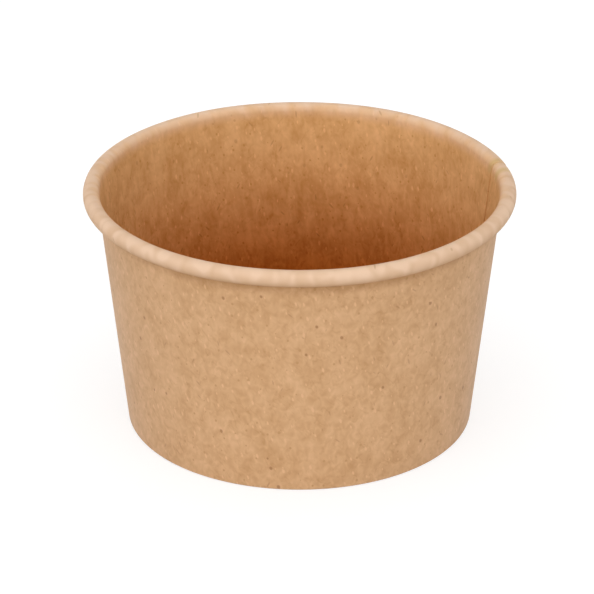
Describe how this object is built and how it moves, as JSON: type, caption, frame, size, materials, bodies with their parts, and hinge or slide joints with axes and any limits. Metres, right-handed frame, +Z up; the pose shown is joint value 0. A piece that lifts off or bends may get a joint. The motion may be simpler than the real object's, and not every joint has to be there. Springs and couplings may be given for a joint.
{
  "type": "paper sauce cup",
  "caption": "Small round kraft paper cup for sauces and dips, with leaning walls, a rolled rim, a lapped side seam and a raised floor held in a folded foot.",
  "frame": {"origin": "centre of the ring that the cup stands on", "axes": "+Z up along the cup's axis, from the foot to the rim; +X and +Y level, with the side seam between them, 14 degrees from +X"},
  "size_m": [0.074, 0.074, 0.0435],
  "materials": {
    "wall_board": "matt unbleached kraft, fibrous, with sparse dark flecks",
    "base_board": "matt unbleached kraft, fibrous, with sparse dark flecks"
  },
  "bodies": {
    "root": {"side_wall": "wall_board", "base_disc": "base_board"}
  },
  "joints": []
}
